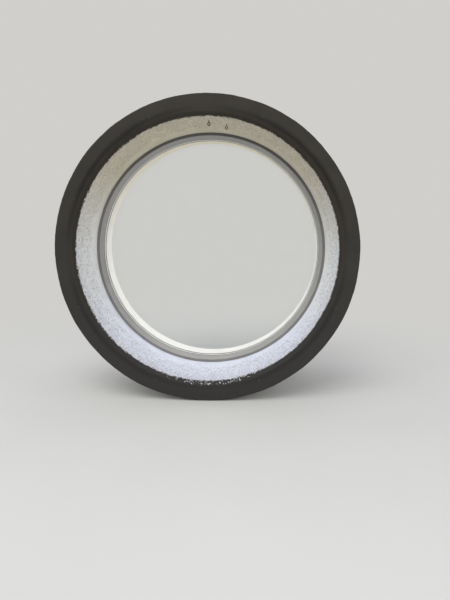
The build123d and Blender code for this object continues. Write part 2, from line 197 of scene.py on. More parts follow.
class Finish(NodeWork):
    def __init__(self, name, **sockets):
        self.material = bpy.data.materials.new(name)
        self.material.use_nodes = True
        super().__init__(self.material.node_tree)
        self.output = self.add("OutputMaterial")
        self.shader = self.add("BsdfPrincipled")
        self.tree.links.new(self.shader.outputs[0], self.output.inputs["Surface"])
        for socket, value in sockets.items():
            self.shader.inputs[socket.replace("_", " ")].default_value = value
        self.place = self.add("TexCoord").outputs["Object"]

    # Noise of a given grain, stretched so that most of it runs from 0 to 1
    def grain(self, size, detail=3.0, low=0.32, high=0.68, place=None):
        texture = self.add("TexNoise", {"Vector": place or self.place, "Scale": 1 / size, "Detail": detail})
        return self.span(texture.outputs[0], low, high)

    # Grain stretched round the ring: how long a mark is round it and how wide across
    def streaks(self, longSize, wideSize, radius, detail=3.0):
        x, y, z = self.axes()
        reach = self.reach()
        turnX = self.times(self.math("DIVIDE", x, reach), radius / longSize)
        turnZ = self.times(self.math("DIVIDE", z, reach), radius / longSize)
        across = self.times(self.math("ADD", reach, y), 1 / wideSize)
        place = self.add("CombineXYZ", {0: turnX, 1: across, 2: turnZ}).outputs[0]
        return self.grain(1.0, detail, place=place)

    # Round spots: 1 at their middles and 0 between them
    def spots(self, size, reach):
        cells = self.add("TexVoronoi", {"Vector": self.place, "Scale": 1 / size})
        return self.span(cells.outputs["Distance"], 0.0, reach, 1.0, 0.0)

    # Darker or lighter by a few percent
    def vary(self, colour, value, amount):
        shade = self.span(value, 0.0, 1.0, 1 - amount, 1 + amount)
        plain = colour if isinstance(colour, bpy.types.NodeSocket) else colour[:3]
        return self.add("VectorMath", {0: plain, 1: shade}, operation="MULTIPLY").outputs[0]

    # A value moved by up to an amount, as a coarse grain goes
    def wander(self, value, size, amount, detail=3.0):
        return self.math("ADD", value, self.times(self.grain(size, detail), amount))

    # Right, outward through the wall, and up
    def axes(self):
        split = self.add("SeparateXYZ", {0: self.place}).outputs
        return split[0], split[1], split[2]

    # Distance from the window's axis
    def reach(self):
        flat = self.add("VectorMath", {0: self.place, 1: (1, 0, 1)}, operation="MULTIPLY").outputs[0]
        return self.length(flat)

    def bump(self, height, depth, after=None):
        sockets = {"Height": height, "Distance": depth, "Strength": 1.0}
        if after:
            sockets["Normal"] = after
        return self.add("Bump", sockets).outputs[0]

    def finish(self, colour, roughness, normal):
        for socket, value in (("Base Color", colour), ("Roughness", roughness), ("Normal", normal)):
            self.tree.links.new(value, self.shader.inputs[socket])
        return self.material


# Surround: satin dark grey paint, brushed round the ring, over a board with a rounded nose.
# A pair named At or Heights holds the two places between which a tone or a mark sets in, and a
# pair named Share how strong it is at each.
surround = {
    "around": 960,  # sections round the ring
    "sharpAngle": 40,
    "noseRadius": 20 * mm,
    "quirkWidth": 2.5 * mm,
    "quirkDepth": 0.7 * mm,
    "edgeRadius": 3 * mm,
    "seatGap": 0.3 * mm,  # from the sleeve's outside to the rebate in the back
    "spigotGap": 1 * mm,  # from the sleeve's inside to the spigot
    "dishDepth": 1.2 * mm,  # hollow where the face meets the nose
    "dishWidth": 38 * mm,
    "dishRise": 14 * mm,
    "noseBlend": 4 * mm,  # the nose and the face run into each other over this much
    "mouthBlend": 3 * mm,
    "frontBlend": (-0.5 * mm, 3 * mm),
    "faceWander": 0.6 * mm,
    "faceWaves": ((120 * mm, 3.1, 0.5), (28 * mm, 8.4, 0.25)),  # size, seed, height
    "faceWavesMost": 1.4,
    "edgeWander": 1.8 * mm,
    "edgeWaves": ((70 * mm, 5.2, 0.6), (16 * mm, 2.7, 0.35)),
    "edgeWavesMost": 1.3,
    "wavesMiddle": 0.5,  # both wander half of their reach on average
    "edgeBand": 12 * mm,
    "paint": tone(54, 51, 46),
    "paintDeep": tone(47, 44, 40),
    "cloudSize": 110 * mm,
    # painted shade: the paint turns cooler and a little darker towards the bottom
    "paintLowShade": tone(50, 49, 49),
    "lowHeights": (0.10, -0.40),
    "lowShare": 0.8,
    # painted warm light reflected onto the upper part of the nose, which has the same paint as the face
    "noseWarmLight": tone(51, 46, 40),
    "noseLap": 4 * mm,  # the nose's tone starts this far out on the face
    "noseWidth": 15 * mm,
    "noseShare": 0.7,
    "noseHeights": (-0.45, -0.05),
    "brushMark": (90 * mm, 3.5 * mm),  # long round the ring, wide across
    "brushShare": 0.06,
    "fleckSize": 2.2 * mm,
    "fleckShare": 0.05,
    "screwCount": 8,
    "filler": tone(72, 72, 69),
    "fillerShare": 0.35,
    "fillerSpread": 0.5 * mm,
    "fillerFade": 1.5 * mm,
    # painted shade in the hollow behind the nose
    "creaseShade": tone(24, 22, 19),
    "creaseAt": (-1 * mm, 17 * mm),  # from the hollow's middle
    "creaseShare": 0.85,
    "creaseWander": (30 * mm, -3 * mm),  # size of its waves, how far they reach
    "slantAt": (0.015, 0.13),  # right times up, which is large on the slanting quarters
    "slantShare": (0.15, 1.0),
    "creaseHeights": (-0.5, 0.2),
    "creaseHeightShare": (0.35, 1.0),
    "spatter": tone(214, 215, 220),
    "spatterMiddle": 20 * mm,
    "spatterHeights": (-0.44, -0.50),
    "spatterAsideAt": (0.24, 0.08),
    "spatterNoseAt": (-2 * mm, -16 * mm),  # from where the nose meets the face
    "dropSpacing": 6.2 * mm,
    "dropReach": 0.42,
    "dropPatch": 14 * mm,
    "dropEdge": (0.12, 0.28),
    "board": tone(142, 112, 80),
    "boardGrain": 3.5 * mm,
    "boardShare": 0.14,
    "overrun": (12 * mm, 9 * mm),  # size of the runs of paint on the back, how far they reach
    "backFadeAt": (-0.9 * mm, -0.5 * mm),  # depths
    "rimFadeAt": (-1 * mm, -3 * mm),  # from the outer edge
    "spigotFade": 2 * mm,
    "roughness": (0.50, 0.68),  # least and most
    "brushDepth": 0.10 * mm,
    "peelSize": 1.6 * mm,
    "peelDepth": 0.10 * mm,
    "fillerSink": 0.06 * mm,
}


def surroundPaint():
    s = surround
    f = Finish("surroundPaint", Specular_IOR_Level=0.2)
    x, y, z = f.axes()
    reach = f.reach()
    noseEnd = surroundSize["inner"] + s["noseRadius"]
    outer = surroundSize["outer"]
    brushed = f.streaks(*s["brushMark"], outer)
    clouds = f.grain(s["cloudSize"], detail=4.0)
    colour = f.mix(clouds, s["paintDeep"], s["paint"])
    # painted shade: cooler and a little darker towards the bottom
    colour = f.mix(f.span(z, *s["lowHeights"], toHigh=s["lowShare"]), colour, s["paintLowShade"])
    # painted warm light on the nose, fading out towards the bottom
    noseShare = f.span(reach, noseEnd + s["noseLap"], noseEnd - s["noseWidth"], toHigh=s["noseShare"])
    colour = f.mix(f.times(noseShare, f.span(z, *s["noseHeights"])), colour, s["noseWarmLight"])
    colour = f.vary(colour, brushed, s["brushShare"])
    colour = f.vary(colour, f.grain(s["fleckSize"], detail=2.0), s["fleckShare"])

    # faint round patches where the screw heads were filled
    circle = (fillerSize["inner"] + fillerSize["outer"]) / 2
    patchRadius = (fillerSize["outer"] - fillerSize["inner"]) / 2 + s["fillerSpread"]
    turn = f.math("ARCTAN2", z, x)
    step = 2 * math.pi / s["screwCount"]
    wrapped = f.add("Math", {0: turn, 1: step, 2: 0.0}, operation="WRAP").outputs[0]
    side = f.times(f.math("SUBTRACT", wrapped, step / 2), circle)
    across = f.math("SUBTRACT", reach, circle)
    away = f.length(f.add("CombineXYZ", {0: side, 1: across, 2: 0.0}).outputs[0])
    filler = f.span(away, patchRadius, patchRadius + s["fillerFade"], 1.0, 0.0)
    colour = f.mix(f.times(filler, s["fillerShare"]), colour, s["filler"])

    # painted shade in the hollow behind the nose, most on the slanting quarters and least along the bottom
    hollow = f.math("ABSOLUTE", f.math("SUBTRACT", reach, noseEnd + s["quirkWidth"]))
    hollow = f.wander(hollow, *s["creaseWander"])
    creaseShadeShare = f.span(hollow, *s["creaseAt"], s["creaseShare"], 0.0, curve="SMOOTHSTEP")
    slanting = f.span(f.math("ABSOLUTE", f.times(x, z)), *s["slantAt"], *s["slantShare"])
    creaseShadeShare = f.times(creaseShadeShare, slanting, f.span(z, *s["creaseHeights"], *s["creaseHeightShare"]))
    colour = f.mix(creaseShadeShare, colour, s["creaseShade"])

    # fine white spatter from the render along the bottom
    aside = f.math("ABSOLUTE", f.math("SUBTRACT", x, s["spatterMiddle"]))
    nearNose = f.span(reach, *[noseEnd + shift for shift in s["spatterNoseAt"]])
    bottom = f.times(f.span(z, *s["spatterHeights"]), f.span(aside, *s["spatterAsideAt"]))
    some = f.grain(s["dropPatch"], detail=2.0, low=0.44, high=0.52)
    drops = f.times(f.spots(s["dropSpacing"], s["dropReach"]), some, nearNose, bottom)
    colour = f.mix(f.span(drops, *s["dropEdge"]), colour, s["spatter"])

    # bare board on the back, with paint that ran over its edge
    edge = f.wander(reach, *s["overrun"], detail=4.0)
    bare = f.times(
        f.span(y, *s["backFadeAt"]),
        f.span(edge, *[outer + shift for shift in s["rimFadeAt"]]),
        f.span(reach, noseEnd, noseEnd + s["spigotFade"]),
    )
    colour = f.mix(bare, colour, f.vary(s["board"], f.grain(s["boardGrain"], detail=5.0), s["boardShare"]))

    roughness = f.span(f.math("ADD", brushed, clouds), 0.0, 2.0, *s["roughness"])
    normal = f.bump(brushed, s["brushDepth"])
    normal = f.bump(f.grain(s["peelSize"], detail=2.0), s["peelDepth"], normal)
    normal = f.bump(filler, -s["fillerSink"], normal)
    return f.finish(colour, roughness, normal)


def surroundSections():
    s, size = surround, surroundSize
    inner, outer, front, back = size["inner"], size["outer"], size["front"], size["back"]
    noseEnd = inner + s["noseRadius"]
    quirkMiddle = noseEnd + s["quirkWidth"] / 2
    quirkEnd = noseEnd + s["quirkWidth"]
    edge = outer - s["edgeRadius"]
    seat = sleeveSize["outer"] + s["seatGap"]
    seatDepth = sleeveSize["front"]
    spigot = roomSize["outer"] - s["spigotGap"]
    points = straight((inner, back), (inner, front + s["noseRadius"]), count=4)
    points += bend((noseEnd, front + s["noseRadius"]), s["noseRadius"], 180, 270, count=26)
    points += straight((noseEnd, front), (quirkMiddle, front + s["quirkDepth"]), count=3)
    points += straight((quirkMiddle, front + s["quirkDepth"]), (quirkEnd, front), count=3)
    points += straight((quirkEnd, front), (edge, front), count=24)
    points += bend((edge, front + s["edgeRadius"]), s["edgeRadius"], 270, 360, count=7)
    points += straight((outer, front + s["edgeRadius"]), (outer, 0), count=4)
    points += straight((outer, 0), (seat, 0), count=5)
    points += [(seat, 0), (seat, seatDepth), (spigot, seatDepth), (spigot, back)]
    return sameSection(points, s["around"])


# The surround was shaped by hand, so its face and edge waver a little
def makeSurround():
    s, size = surround, surroundSize
    sections = surroundSections()
    places = inSpace(sections)
    reach, depth = sections[..., 0], sections[..., 1]
    noseEnd = size["inner"] + s["noseRadius"]
    visible = softStep(reach, size["inner"] + s["mouthBlend"], noseEnd - s["noseBlend"])
    visible = visible * softStep(-depth, *s["frontBlend"])
    waves = np.clip(s["wavesMiddle"] + noiseSum(places, s["faceWaves"]), 0, s["faceWavesMost"])
    waver = s["faceWander"] * waves * visible
    dish = s["dishDepth"] * (1 - softStep(reach, noseEnd, noseEnd + s["dishWidth"]))
    dish = dish * softStep(reach, noseEnd - s["dishRise"], noseEnd + s["noseBlend"]) * visible
    pushed = sections - outOf(sections) * (waver + dish)[..., None]
    rim = softStep(reach, size["outer"] - s["edgeBand"], size["outer"])
    ragged = np.clip(s["wavesMiddle"] + noiseSum(places, s["edgeWaves"]), 0, s["edgeWavesMost"])
    pushed[..., 0] -= s["edgeWander"] * ragged * rim
    ring = makeRing("surroundRing", pushed, s["sharpAngle"])
    ring.data.materials.append(surroundPaint())
    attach(ring, "root")
    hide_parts("surround_ring", "surround_screw_fillers")
    print("surround made,", len(ring.data.polygons), "faces")


# Room reveal: rough stippled coat whose front edge creeps over the surround's nose
roomReveal = {
    "around": 1060,  # sections round the ring
    "deep": 72,  # rows from the surround to the frame
    "lip": 9,  # rows on the surround's nose
    "sharpAngle": 70,
    "mouthLap": 1 * mm,
    "lipReach": 6.2 * mm,
    "lipLeast": 1.5 * mm,
    "lipMost": 19 * mm,
    "lipThickness": 0.35 * mm,  # just behind its tip
    "lipSink": 0.15 * mm,  # the tip lies this deep in the nose
    # size, seed and reach of each noise in the lip's edge
    "crumbs": ((80 * mm, 1.3, 4.0 * mm), (13 * mm, 6.6, 5.5 * mm), (6.5 * mm, 4.9, 3.0 * mm)),
    "fineCrumbs": (7.5 * mm, 12.5),  # size and seed
    "fineReach": 3 * mm,
    "fineReachTop": 6 * mm,  # more at the top
    "fineReachBottom": 13 * mm,  # and along the bottom
    "lipReachBottom": 1.5 * mm,
    "topHeights": (0.43, 0.49),
    "bottomHeights": (-0.44, -0.505),
    "bottomAsideAt": (0.30, 0.18),
    "backGap": 0.05 * mm,
    "beadSheet": 1.5 * mm,
    "smoothMargin": 22 * mm,
    "marginFade": 62 * mm,
    "marginRough": 0.25,
    "marginWander": (50 * mm, 24 * mm),  # size of its waves, how far they reach
    "stipple": ((8.8 * mm, 2.2, 1.5 * mm), (19 * mm, 7.7, 0.9 * mm)),  # size, seed, height
    "waves": ((140 * mm, 9.1, 0.9 * mm),),
    "smoothShare": 0.12,  # stipple that is left in the smooth margin
    "smoothFrom": 1 * mm,
    "lipHollow": 0.1 * mm,  # deepest that the lip dips
    # painted light by height: bluish and bright low, where the sky lights the coat, and warm and darker
    # high, in bounced shade
    "low": tone(224, 228, 242),
    "middle": tone(236, 237, 238),
    "middleHeights": (-0.40, -0.05),
    "high": tone(210, 203, 184),
    "highHeights": (0.02, 0.33),
    # painted shade: greyer towards the room edge, most on the lower part
    "edge": tone(186, 186, 193),
    "edgeAt": (120 * mm, 0.0),  # depths
    "edgeHeights": (0.25, -0.25),
    "frontShadeShare": (0.12, 0.45),
    "cloudSize": 50 * mm,
    "cloudShare": 0.045,
    "trowelMark": (160 * mm, 12 * mm),  # long round the ring, wide across
    "trowelShare": 0.03,
    # size, detail, low end and share of each noise in the coat's colour
    "speckles": ((11.5 * mm, 3.0, 0.37, 0.085), (6.2 * mm, 4.0, 0.36, 0.11)),
    "pitSpacing": 10 * mm,
    "pitReach": 0.40,
    "pitPatch": 21 * mm,
    "pitEdge": (0.05, 0.45),
    # painted shade in the pits, cool low and warm high, strongest towards the bottom
    "pitShadeLow": tone(128, 128, 132),
    "pitShadeHigh": tone(122, 114, 98),
    "pitHeights": (0.38, -0.10),
    "pitShadeShare": (0.28, 0.60),
    "paintSmear": tone(70, 68, 63),
    "smearWander": (18 * mm, -14 * mm),
    "smearAt": (4 * mm, 0.0),  # depths
    "smearGrain": 6 * mm,
    # degrees clockwise from the top, and depth
    "oldHoles": ((-5.9, 144 * mm), (-12.0, 165 * mm), (23.9, 149 * mm)),
    "holeRadius": 2.0 * mm,
    "holeDepth": 5 * mm,
    "holeFade": 1.5 * mm,
    # painted shade inside the old holes
    "holeShade": tone(58, 54, 47),
    "holeShadeSink": 3 * mm,
    "holeShadeAt": (3.2 * mm, 2 * mm),  # past the hole's radius
    "coarseSize": 5.6 * mm,
    "coarseBump": 2.6 * mm,
    "gritSize": 2.4 * mm,
    "gritBump": 0.7 * mm,
    "pitBump": 1.2 * mm,
    "roughness": (0.86, 0.97),
}


# Radius of the coat's plain surface at a depth
def coatRadius(depth):
    mouth = surroundSize["inner"] - roomReveal["mouthLap"]
    share = (depth - surroundSize["back"]) / (roomBeadSize["front"] - surroundSize["back"])
    return mouth + (roomSize["inner"] - mouth) * share


# Direction from the axis to an old hole, as its parts to the right and up
def holeDirection(clockwise):
    angle = math.radians(90 - clockwise)
    return math.cos(angle), math.sin(angle)


def roughRender():
    r = roomReveal
    f = Finish("roughRender", Specular_IOR_Level=0.2)
    y, z = f.axes()[1:]
    # painted light by height: bluish and bright low, warm and darker high
    colour = f.mix(f.span(z, *r["middleHeights"]), r["low"], r["middle"])
    heightShare = f.span(z, *r["highHeights"])
    colour = f.mix(heightShare, colour, r["high"])
    colour = f.vary(colour, f.grain(r["cloudSize"], detail=4.0), r["cloudShare"])
    colour = f.vary(colour, f.streaks(*r["trowelMark"], roomSize["inner"]), r["trowelShare"])
    # painted shade towards the room edge, most on the lower part
    frontShadeShare = f.times(f.span(y, *r["edgeAt"]), f.span(z, *r["edgeHeights"], *r["frontShadeShare"]))
    colour = f.mix(frontShadeShare, colour, r["edge"])

    # rough and speckled towards the room, smoother towards the frame
    smoothStart = roomSize["back"] - r["smoothMargin"]
    wavering = f.wander(y, *r["marginWander"])
    margin = f.span(wavering, smoothStart - r["marginFade"], smoothStart, 1.0, r["marginRough"])
    speckled = colour
    for size, detail, low, share in r["speckles"]:
        speckled = f.vary(speckled, f.grain(size, detail, low, 1 - low), share)
    colour = f.mix(margin, colour, speckled)
    # pits: real dents, darkened with painted shade, most towards the bottom
    patches = f.grain(r["pitPatch"], detail=2.0, low=0.36, high=0.50)
    pits = f.times(f.spots(r["pitSpacing"], r["pitReach"]), patches, margin)
    pitShadeShare = f.times(f.span(pits, *r["pitEdge"]), f.span(z, *r["pitHeights"], *r["pitShadeShare"]))
    colour = f.mix(pitShadeShare, colour, f.mix(heightShare, r["pitShadeLow"], r["pitShadeHigh"]))

    # surround paint that ran onto the front edge of the coat
    broken = f.grain(r["smearGrain"], detail=2.0, low=0.40, high=0.52)
    smear = f.times(f.span(f.wander(y, *r["smearWander"]), *r["smearAt"]), broken)
    colour = f.mix(smear, colour, r["paintSmear"])

    # old screw holes, with painted shade inside
    for clockwise, depth in r["oldHoles"]:
        right, up = holeDirection(clockwise)
        reach = coatRadius(depth) + r["holeShadeSink"]
        middle = (reach * right, depth, reach * up)
        away = f.add("VectorMath", {0: f.place, 1: middle}, operation="DISTANCE").outputs["Value"]
        inside = f.span(away, *[r["holeRadius"] + shift for shift in r["holeShadeAt"]])
        colour = f.mix(inside, colour, r["holeShade"])

    grit = f.grain(r["gritSize"], detail=2.0)
    coarse = f.grain(r["coarseSize"], detail=4.0, low=0.30, high=0.70)
    normal = f.bump(f.times(coarse, margin), r["coarseBump"])
    normal = f.bump(f.times(grit, margin), r["gritBump"], normal)
    normal = f.bump(pits, -r["pitBump"], normal)
    return f.finish(colour, f.span(grit, 0.0, 1.0, *r["roughness"]), normal)


# Points along the surround's nose, by distance forward from its back corner
def nosePoint(travel, lift):
    straightPart = surroundSize["back"] - surroundSize["front"] - surround["noseRadius"]
    turn = np.maximum(travel - straightPart, 0) / surround["noseRadius"]
    centreReach = surroundSize["inner"] + surround["noseRadius"]
    centreDepth = surroundSize["front"] + surround["noseRadius"]
    reach = centreReach - (surround["noseRadius"] + lift) * np.cos(turn)
    depth = np.where(
        travel < straightPart,
        surroundSize["back"] - travel,
        centreDepth - (surround["noseRadius"] + lift) * np.sin(turn),
    )
    return np.stack([reach, depth], axis=-1)


# How far the coat creeps forward on the nose at each angle
def lipTips():
    r = roomReveal
    angles = np.linspace(0, 2 * math.pi, r["around"], endpoint=False)
    mouth = surroundSize["inner"] - r["mouthLap"]
    rim = np.stack([mouth * np.cos(angles), 0 * angles, mouth * np.sin(angles)], axis=-1)
    top = softStep(rim[:, 2], *r["topHeights"])
    bottom = softStep(rim[:, 2], *r["bottomHeights"]) * softStep(np.abs(rim[:, 0]), *r["bottomAsideAt"])
    tips = r["lipReach"] + r["lipReachBottom"] * bottom + noiseSum(rim, r["crumbs"])
    fineReach = r["fineReach"] + r["fineReachTop"] * top + r["fineReachBottom"] * bottom
    tips = tips + fineReach * noiseAt(rim, *r["fineCrumbs"])
    return np.clip(tips, r["lipLeast"], r["lipMost"])


def roomRevealSections():
    r = roomReveal
    tips = lipTips()
    rows = []
    for share in np.linspace(1, 0, r["lip"], endpoint=False):
        lift = min(r["mouthLap"] * math.sqrt(1 - share) + r["lipThickness"], r["mouthLap"])
        if share == 1:
            lift = -r["lipSink"]
        rows.append(nosePoint(tips * share, np.full(len(tips), lift)))
    noseFront = roomBeadSize["front"]
    for depth in np.linspace(surroundSize["back"], noseFront, r["deep"]):
        rows.append(np.stack([np.full(len(tips), coatRadius(depth)), np.full(len(tips), depth)], axis=-1))
    sheet = r["beadSheet"]
    hidden = [
        (roomSize["inner"] + sheet, noseFront),
        (roomSize["inner"] + sheet, roomSize["back"] - sheet),
        (roomBeadSize["outer"], roomSize["back"] - sheet),
        (roomBeadSize["outer"], roomSize["back"]),
        (roomSize["outer"], roomSize["back"]),
        (roomSize["outer"], roomSize["front"]),
        (surroundSize["inner"] + r["backGap"], roomSize["front"]),
    ]
    for point in hidden:
        rows.append(np.tile(np.array(point), (len(tips), 1)))
    return np.stack(rows, axis=1)


def makeRoomReveal():
    r = roomReveal
    sections = roomRevealSections()
    places = inSpace(sections)
    row = np.arange(sections.shape[1])
    rough = softStep(roomBeadSize["front"] - sections[..., 1], r["smoothFrom"], r["smoothMargin"])
    relief = noiseSum(places, r["stipple"]) * (r["smoothShare"] + (1 - r["smoothShare"]) * rough)
    relief += noiseSum(places, r["waves"]) * rough
    relief = np.where(row < r["lip"], np.maximum(relief, -r["lipHollow"]) * (row > 0), relief)
    shown = row < r["lip"] + r["deep"] - 1

    # each old hole is a dent on a line through the axis, so it also dents the coat straight across
    for clockwise, depth in r["oldHoles"]:
        right, up = holeDirection(clockwise)
        away = np.hypot(places[..., 0] * up - places[..., 2] * right, places[..., 1] - depth)
        dent = 1 - softStep(away, r["holeRadius"] / 2, r["holeRadius"] + r["holeFade"])
        relief -= r["holeDepth"] * dent * shown
    sections = sections + outOf(sections) * (relief * shown)[..., None]
    ring = makeRing("roomReveal", sections, r["sharpAngle"])
    ring.data.materials.append(roughRender())
    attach(ring, "root")
    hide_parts("room_reveal_render")
    print("room reveal made,", len(ring.data.polygons), "faces")


# Outer reveal: smoother and whiter, with a few lumps low on the left
outerReveal = {
    "around": 720,  # sections round the ring
    "deep": 44,  # rows from the frame to the corner bead
    "sharpAngle": 60,
    "sheet": 1.5 * mm,
    "waves": ((150 * mm, 1.9, 0.5 * mm), (13 * mm, 5.5, 0.22 * mm)),  # size, seed, height
    "lumps": (17 * mm, 3.3),  # size and seed
    "lumpHeight": 5 * mm,
    "lumpLeast": 0.30,  # only the highest noise makes a lump
    "lumpHeights": (-0.05, -0.3),
    "lumpLeftAt": (-0.1, -0.35),
    "endFade": 12 * mm,
    "white": tone(238, 236, 234),
    "shaded": tone(235, 228, 210),
    "shadedHeights": (0.05, 0.42),
    "cloudSize": 70 * mm,
    "cloudShare": 0.02,
    "fleckSize": 4 * mm,
    "fleckShare": 0.015,
    "mortar": tone(176, 173, 165),
    "mortarDark": tone(156, 153, 146),
    "mortarGrain": 18 * mm,
    "mortarAt": (-1 * mm, -0.4 * mm),  # from the outside face
    "gritSize": 4.5 * mm,
    "gritBump": 0.25 * mm,
    "fineSize": 1.3 * mm,
    "fineBump": 0.08 * mm,
    "roughness": (0.72, 0.86),
}


def smoothRender():
    o = outerReveal
    f = Finish("smoothRender", Specular_IOR_Level=0.25)
    y, z = f.axes()[1:]
    colour = f.mix(f.span(z, *o["shadedHeights"]), o["white"], o["shaded"])
    colour = f.vary(colour, f.grain(o["cloudSize"], detail=4.0), o["cloudShare"])
    colour = f.vary(colour, f.grain(o["fleckSize"]), o["fleckShare"])

    # the outside face is bare mortar, where the wall's own coat laps on
    mortar = f.mix(f.grain(o["mortarGrain"], detail=6.0), o["mortarDark"], o["mortar"])
    colour = f.mix(f.span(y, *[outerSize["back"] + shift for shift in o["mortarAt"]]), colour, mortar)
    grit = f.grain(o["gritSize"])
    normal = f.bump(grit, o["gritBump"])
    normal = f.bump(f.grain(o["fineSize"], detail=2.0), o["fineBump"], normal)
    return f.finish(colour, f.span(grit, 0.0, 1.0, *o["roughness"]), normal)


def makeOuterReveal():
    o, size = outerReveal, outerSize
    sheet = o["sheet"]
    beadBack = outerBeadSize["back"]
    legFront = cornerSize["front"]
    points = straight((size["inner"], beadBack), (size["inner"], legFront), o["deep"])
    points += [
        (size["inner"], legFront),
        (size["inner"] + sheet, legFront),
        (size["inner"] + sheet, size["back"] - sheet),
        (cornerSize["outer"], size["back"] - sheet),
        (cornerSize["outer"], size["back"]),
        (size["outer"], size["back"]),
        (size["outer"], size["front"]),
        (outerBeadSize["outer"], size["front"]),
        (outerBeadSize["outer"], size["front"] + sheet),
        (size["inner"] + sheet, size["front"] + sheet),
        (size["inner"] + sheet, beadBack),
    ]
    sections = sameSection(points, o["around"])
    places = inSpace(sections)
    depth = sections[..., 1]
    ends = softStep(depth, beadBack, beadBack + o["endFade"]) * softStep(legFront - depth, 0, o["endFade"])
    shown = np.arange(len(points)) < o["deep"]
    lumps = np.maximum(noiseAt(places, *o["lumps"]) - o["lumpLeast"], 0) * o["lumpHeight"]
    lumps = lumps * softStep(places[..., 2], *o["lumpHeights"]) * softStep(places[..., 0], *o["lumpLeftAt"])
    relief = noiseSum(places, o["waves"]) + lumps
    sections = sections + outOf(sections) * (relief * ends * shown)[..., None]
    ring = makeRing("outerReveal", sections, o["sharpAngle"])
    ring.data.materials.append(smoothRender())
    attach(ring, "root")
    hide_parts("outer_reveal_render")
    print("outer reveal made,", len(ring.data.polygons), "faces")


# Frame: satin grey powder coat, with painted shade that darkens it towards the top
frameCoat = {
    "grey": tone(124, 122, 119),
    "topShadeGrey": tone(94, 93, 91),
    "topHeights": (0.05, 0.42),
    "slopeLitGrey": tone(158, 156, 154),  # painted light on the beads' slope, which faces the daylight
    "slopeAt": (0.4 * mm, 1.4 * mm),  # behind the frame's flat face
    "cloudSize": 50 * mm,
    "cloudShare": 0.035,
    "fleckSize": 0.9 * mm,
    "fleckShare": 0.04,
    "edgeRadius": 0.5 * mm,
    "peelSize": 1.1 * mm,
    "peelDepth": 0.03 * mm,
    "glossSize": 20 * mm,
    "roughness": (0.38, 0.50),
}


def powderCoat(name="greyPowderCoat", sloped=False):
    c = frameCoat
    f = Finish(name, Specular_IOR_Level=0.4)
    y, z = f.axes()[1:]
    # painted shade towards the top
    colour = f.mix(f.span(z, *c["topHeights"]), c["grey"], c["topShadeGrey"])
    if sloped:
        # painted light on the slope, which faces the daylight
        onSlope = f.span(y, *[roomSize["back"] + shift for shift in c["slopeAt"]])
        colour = f.mix(onSlope, colour, c["slopeLitGrey"])
    colour = f.vary(colour, f.grain(c["cloudSize"]), c["cloudShare"])
    colour = f.vary(colour, f.grain(c["fleckSize"], detail=1.0), c["fleckShare"])
    edges = f.add("Bevel", {"Radius": c["edgeRadius"]}, samples=6).outputs[0]
    normal = f.bump(f.grain(c["peelSize"], detail=2.0), c["peelDepth"], edges)
    return f.finish(colour, f.span(f.grain(c["glossSize"]), 0.0, 1.0, *c["roughness"]), normal)


# Sleeve: raw fibre cement wound on a drum, with cement milk on it and fine pores
sleeveFinish = {
    "grey": tone(157, 156, 151),
    "greyLight": tone(170, 169, 164),
    "cloudSize": 220 * mm,
    "wrapMark": (350 * mm, 6 * mm),  # long round the ring, wide across
    "wrapShare": 0.09,
    "wrapDepth": 0.25 * mm,
    "fleckSize": 12 * mm,
    "fleckShare": 0.05,
    "milk": tone(196, 195, 190),
    "milkSize": 60 * mm,
    "milkGrain": 4 * mm,
    "milkShare": 0.45,
    "grit": tone(108, 106, 101),
    "gritSize": 2.2 * mm,
    "gritShare": 0.5,
    "fineSize": 2 * mm,
    "fineDepth": 0.12 * mm,
    "pore": tone(96, 94, 90),
    "poreSpacing": 11 * mm,
    "poreReach": 0.16,
    "poreShare": 0.6,
    "poreDepth": 0.5 * mm,
    "roughness": (0.82, 0.94),
}


def fibreCement():
    c = sleeveFinish
    f = Finish("fibreCement", Specular_IOR_Level=0.2)
    wraps = f.streaks(*c["wrapMark"], sleeveSize["outer"], detail=4.0)
    colour = f.mix(f.grain(c["cloudSize"], detail=9.0, low=0.30, high=0.70), c["grey"], c["greyLight"])
    colour = f.vary(colour, wraps, c["wrapShare"])
    colour = f.vary(colour, f.grain(c["fleckSize"], detail=6.0), c["fleckShare"])
    milk = f.grain(c["milkSize"], detail=10.0, low=0.58, high=0.70)
    milk = f.times(milk, f.grain(c["milkGrain"], low=0.35, high=0.60))
    colour = f.mix(f.times(milk, c["milkShare"]), colour, c["milk"])
    grit = f.grain(c["gritSize"], detail=2.0, low=0.60, high=0.72)
    colour = f.mix(f.times(grit, c["gritShare"]), colour, c["grit"])
    pores = f.spots(c["poreSpacing"], c["poreReach"])
    colour = f.mix(f.times(pores, c["poreShare"]), colour, c["pore"])
    normal = f.bump(wraps, c["wrapDepth"])
    normal = f.bump(f.grain(c["fineSize"]), c["fineDepth"], normal)
    normal = f.bump(pores, -c["poreDepth"], normal)
    return f.finish(colour, f.span(wraps, 0.0, 1.0, *c["roughness"]), normal)


# Hooks: black coated wire, worn to a brown in places
hookWire = {
    "black": tone(12, 11, 10),
    "worn": tone(56, 50, 44),
    "wornShare": 0.25,
    "wornSize": 2.8 * mm,
    "peelSize": 1.2 * mm,
    "peelDepth": 0.03 * mm,
    "roughness": (0.34, 0.55),
}


def blackWire():
    h = hookWire
    f = Finish("blackWire", Specular_IOR_Level=0.15)
    worn = f.grain(h["wornSize"], low=0.60, high=0.74)
    colour = f.mix(f.times(worn, h["wornShare"]), h["black"], h["worn"])
    normal = f.bump(f.grain(h["peelSize"], detail=2.0), h["peelDepth"])
    return f.finish(colour, f.span(worn, 0.0, 1.0, *h["roughness"]), normal)


# Panes: clear glass with a thin film of dust
pane = {
    "clear": (0.988, 0.992, 0.990, 1),
    "mirrorIor": 1.45,
    "mirrorShare": 0.6,
    "mirrorRoughness": 0.02,
    "dust": tone(225, 225, 220),
    "dustShare": (0.002, 0.008),
    "dustSize": 50 * mm,
}


